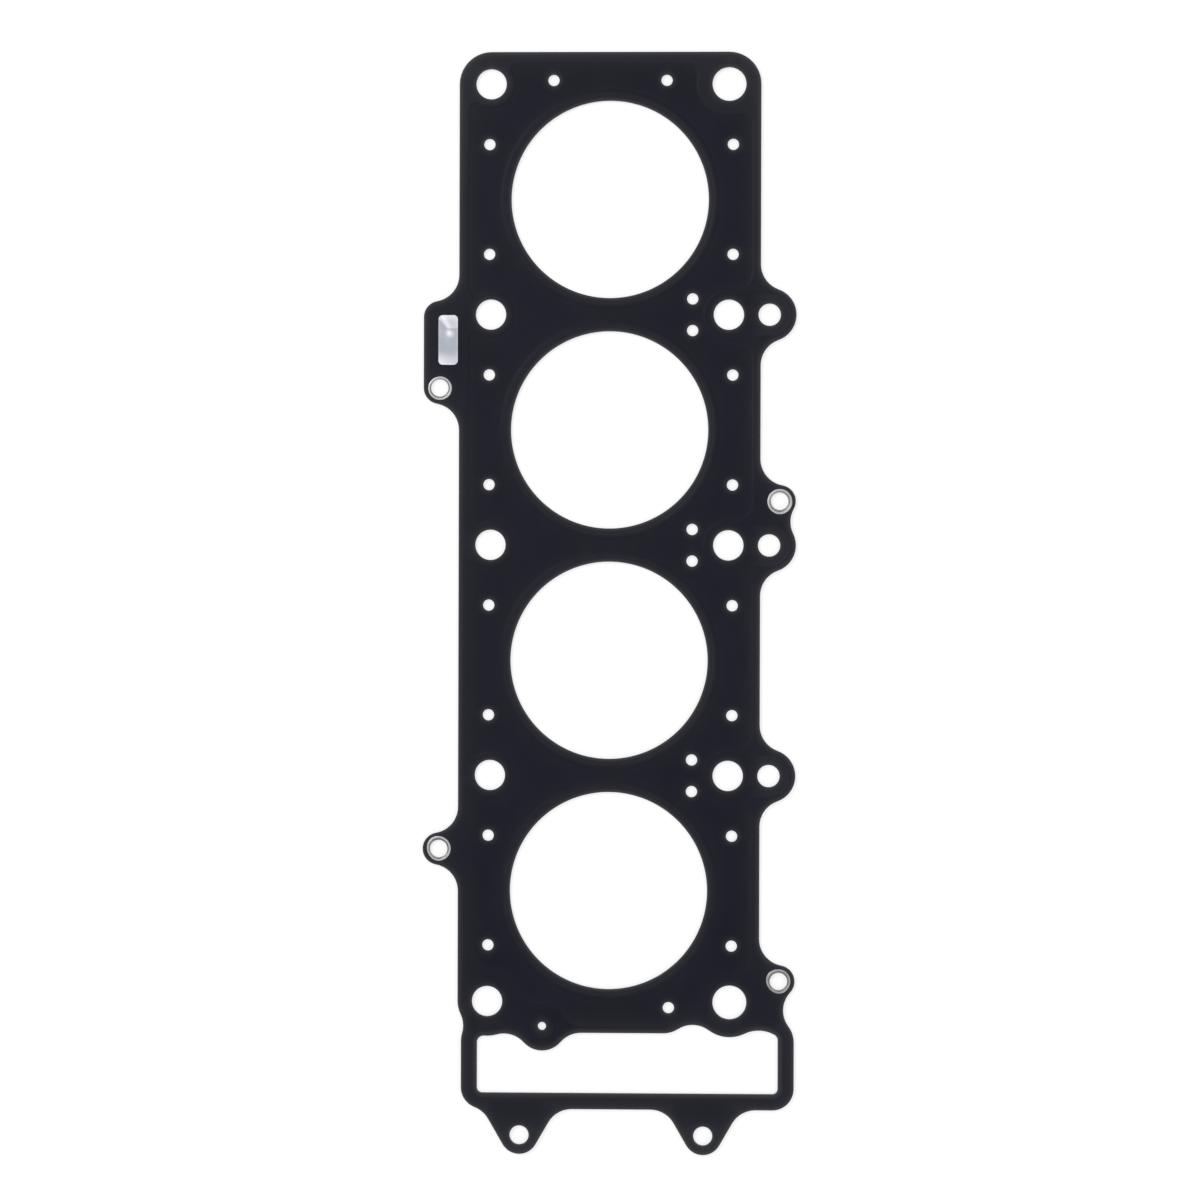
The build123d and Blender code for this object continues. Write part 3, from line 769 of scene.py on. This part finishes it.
eyelet_holes = round_cuts(upper_lines[0], hole_radius - hole_error, hole_radius + hole_error)
eyelet_centres = sorted((centre for centre, _ in eyelet_holes), key=lambda centre: -centre[1])
draw = np.random.default_rng(5)
surfaces = [eyelet_surface(centre, number, draw) for number, centre in enumerate(eyelet_centres)]
point_count = len(surfaces[0][0])
faces = eyelet_faces(point_count // eyelet_sides)
all_faces = np.concatenate([faces + number * point_count for number in range(len(surfaces))])
eyelet_mesh = bpy.data.meshes.new("eyelet_rings")
eyelet_mesh.from_pydata(np.concatenate([places for places, _ in surfaces]).tolist(), [], all_faces.tolist())
darkening_layer = eyelet_mesh.attributes.new("shade_and_darkening", "FLOAT", "POINT")
darkening_layer.data.foreach_set("value", np.concatenate([shade_and_darkening for _, shade_and_darkening in surfaces]))
eyelet_mesh.shade_smooth()
eyelet_mesh.set_sharp_from_angle(angle=math.radians(50))
eyelet_mesh.materials.append(punched_steel())
eyelet_rings = new_object("eyelet_rings", eyelet_mesh)
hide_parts("eyelets")
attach(eyelet_rings, "root")


# Floor and light
# A pale matt floor under the gasket, soft light from all round and two large soft lamps. The camera and
# mirrors see the floor and the sky brighter than the light that they give.
floor_half = 3.0
floor_grey = (0.4, 0.4, 0.4, 1)
floor_glow = 0.64
sky_light = 0.7
white = (1, 1, 1, 1)


def seen(paint):
    """1 for rays that the camera sees straight, in a mirror or through glass, and 0 for those that light."""
    kinds = ("Is Camera Ray", "Is Glossy Ray", "Is Transmission Ray")
    return sum(paint.add("ShaderNodeLightPath", {}, {}, kind) for kind in kinds)


def pale_floor():
    """Matt floor that glows for the rays that are seen alone, so that it is white with light shadows."""
    finish, paint = new_finish("pale_floor")
    matt = paint.add("ShaderNodeBsdfDiffuse", {}, {"Color": floor_grey})
    glow = paint.add("ShaderNodeEmission", {}, {"Color": white, "Strength": seen(paint) * floor_glow})
    both = paint.add("ShaderNodeAddShader", {}, {0: matt, 1: glow})
    paint.add("ShaderNodeOutputMaterial", {}, {"Surface": both})
    return finish


def soft_lamp(name, place, size, power):
    """Square area lamp that looks at the gasket, with its size in metres and its power in watts."""
    lamp = bpy.data.lights.new(name, "AREA")
    lamp.shape = "SQUARE"
    lamp.size = size
    lamp.energy = power
    holder = new_object(name, lamp)
    holder.location = place
    holder.rotation_euler = (-Vector(place)).to_track_quat("-Z", "Y").to_euler()


floor_mesh = bpy.data.meshes.new("floor")
floor_corners = [(-floor_half, -floor_half, 0), (floor_half, -floor_half, 0),
                 (floor_half, floor_half, 0), (-floor_half, floor_half, 0)]
floor_mesh.from_pydata(floor_corners, [], [(0, 1, 2, 3)])
floor_mesh.materials.append(pale_floor())
new_object("floor", floor_mesh)

world = bpy.data.worlds.new("studio")
world.use_nodes = True
world.node_tree.nodes.clear()
sky = Paint(world.node_tree)
sky_strength = sky_light + seen(sky) * (1 - sky_light)
background = sky.add("ShaderNodeBackground", {}, {"Color": white, "Strength": sky_strength})
sky.add("ShaderNodeOutputWorld", {}, {"Surface": background})
bpy.context.scene.world = world

soft_lamp("lamp_left", place=(-0.75, 0.55, 1.25), size=0.6, power=7)
soft_lamp("lamp_right", place=(0.95, -0.75, 1.2), size=0.9, power=3.5)


# Camera
# It looks straight down from 1.2 m, a touch from the right, as the photograph was taken. Its lens gives the
# photograph's frame, and the roll its slight turn.
camera_place = Vector((27.37 * mm, 4.45 * mm, 1201.0 * mm))
camera_aim = Vector((-3.45 * mm, 1.27 * mm, level("upper_layer", 1)))
camera_roll = math.radians(0.15)
camera = bpy.data.cameras.new("camera")
camera.lens = 96.45
camera.sensor_width = 36
camera.clip_start = 0.05
camera_holder = new_object("camera", camera)
forward = (camera_aim - camera_place).normalized()
upward = Vector((-math.sin(camera_roll), math.cos(camera_roll), 0))
rightward = forward.cross(upward).normalized()
upward = rightward.cross(forward)
turn = Matrix((rightward, upward, -forward)).transposed().to_4x4()
camera_holder.matrix_world = Matrix.Translation(camera_place) @ turn
bpy.context.scene.camera = camera_holder
bpy.context.scene.view_settings.view_transform = "Standard"
